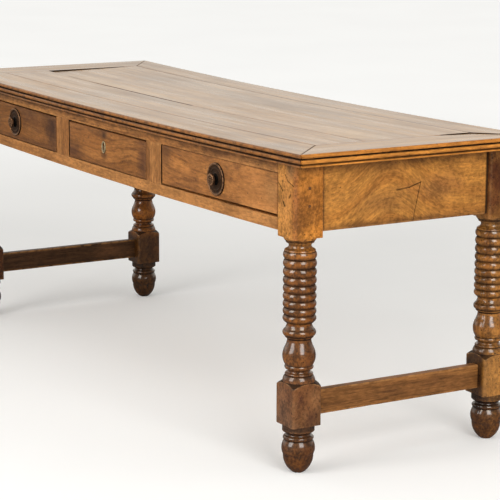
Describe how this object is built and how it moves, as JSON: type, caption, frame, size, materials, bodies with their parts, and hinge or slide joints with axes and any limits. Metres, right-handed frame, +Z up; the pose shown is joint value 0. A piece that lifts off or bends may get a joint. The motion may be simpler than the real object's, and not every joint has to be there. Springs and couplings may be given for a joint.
{
  "type": "drapers table",
  "caption": "Long walnut drapers table with a mitred, reeded top, knobbed and lockable drawers under its front, ring-turned legs and a low stretcher at each end.",
  "frame": {"origin": "middle of the table's outline, on the floor that the feet stand on", "axes": "+X along the length, to the right for someone facing the drawers; +Y from the drawers to the back; +Z up"},
  "size_m": [2.05, 0.676, 0.7799],
  "materials": {
    "walnut_top": "waxed walnut, worn pale, satin",
    "walnut_frame": "waxed honey walnut, satin",
    "walnut_leg": "waxed turned walnut, glossy",
    "walnut_drawer": "waxed mid-brown walnut, satin",
    "lining_wood": "bare dry softwood lining",
    "bronze": "dark patinated bronze",
    "brass": "dull pale brass",
    "iron": "dark forged iron"
  },
  "bodies": {
    "table": {"back_apron": "walnut_frame", "divider_left": "walnut_frame", "divider_right": "walnut_frame", "drawer_stops": "lining_wood", "end_apron_left": "walnut_frame", "end_apron_right": "walnut_frame", "front_rail_lower": "walnut_frame", "front_rail_upper": "walnut_frame", "guide_end_left": "lining_wood", "guide_end_right": "lining_wood", "guide_middle_left": "lining_wood", "guide_middle_right": "lining_wood", "kicker_end_left": "lining_wood", "kicker_end_right": "lining_wood", "kicker_middle_left": "lining_wood", "kicker_middle_right": "lining_wood", "leg_back_left": "walnut_leg", "leg_back_right": "walnut_leg", "leg_front_left": "walnut_leg", "leg_front_right": "walnut_leg", "runner_end_left": "lining_wood", "runner_end_right": "lining_wood", "runner_middle_left": "lining_wood", "runner_middle_right": "lining_wood", "stretcher_left": "walnut_frame", "stretcher_right": "walnut_frame", "tenon_pegs": "walnut_frame", "top_board_back": "walnut_top", "top_board_front": "walnut_top", "top_border_back": "walnut_top", "top_border_front": "walnut_top", "top_border_left": "walnut_top", "top_border_right": "walnut_top", "top_screws": "iron"},
    "left_drawer": {"drawer_left_back": "lining_wood", "drawer_left_bottom": "lining_wood", "drawer_left_front": "walnut_drawer", "drawer_left_side_left": "lining_wood", "drawer_left_side_right": "lining_wood", "knob_plate_left": "bronze", "knob_left": "bronze", "knob_nut_left": "iron"},
    "centre_drawer": {"drawer_centre_back": "lining_wood", "drawer_centre_bottom": "lining_wood", "drawer_centre_front": "walnut_drawer", "drawer_centre_side_left": "lining_wood", "drawer_centre_side_right": "lining_wood", "escutcheon": "brass", "lock_case": "iron", "lock_screws": "iron"},
    "right_drawer": {"drawer_right_back": "lining_wood", "drawer_right_bottom": "lining_wood", "drawer_right_front": "walnut_drawer", "drawer_right_side_left": "lining_wood", "drawer_right_side_right": "lining_wood", "knob_plate_right": "bronze", "knob_right": "bronze", "knob_nut_right": "iron"},
    "lock_bolt": {"lock_bolt": "iron"}
  },
  "joints": [
    {"name": "left_drawer_slide", "type": "slide", "parent": "table", "child": "left_drawer", "axis": [0, -1, 0], "range_m": [0, 0.42]},
    {"name": "centre_drawer_slide", "type": "slide", "parent": "table", "child": "centre_drawer", "axis": [0, -1, 0], "range_m": [0, 0.42]},
    {"name": "right_drawer_slide", "type": "slide", "parent": "table", "child": "right_drawer", "axis": [0, -1, 0], "range_m": [0, 0.42]},
    {"name": "lock_bolt_throw", "type": "slide", "parent": "centre_drawer", "child": "lock_bolt", "axis": [0, 0, 1], "range_m": [0, 0.008]}
  ]
}
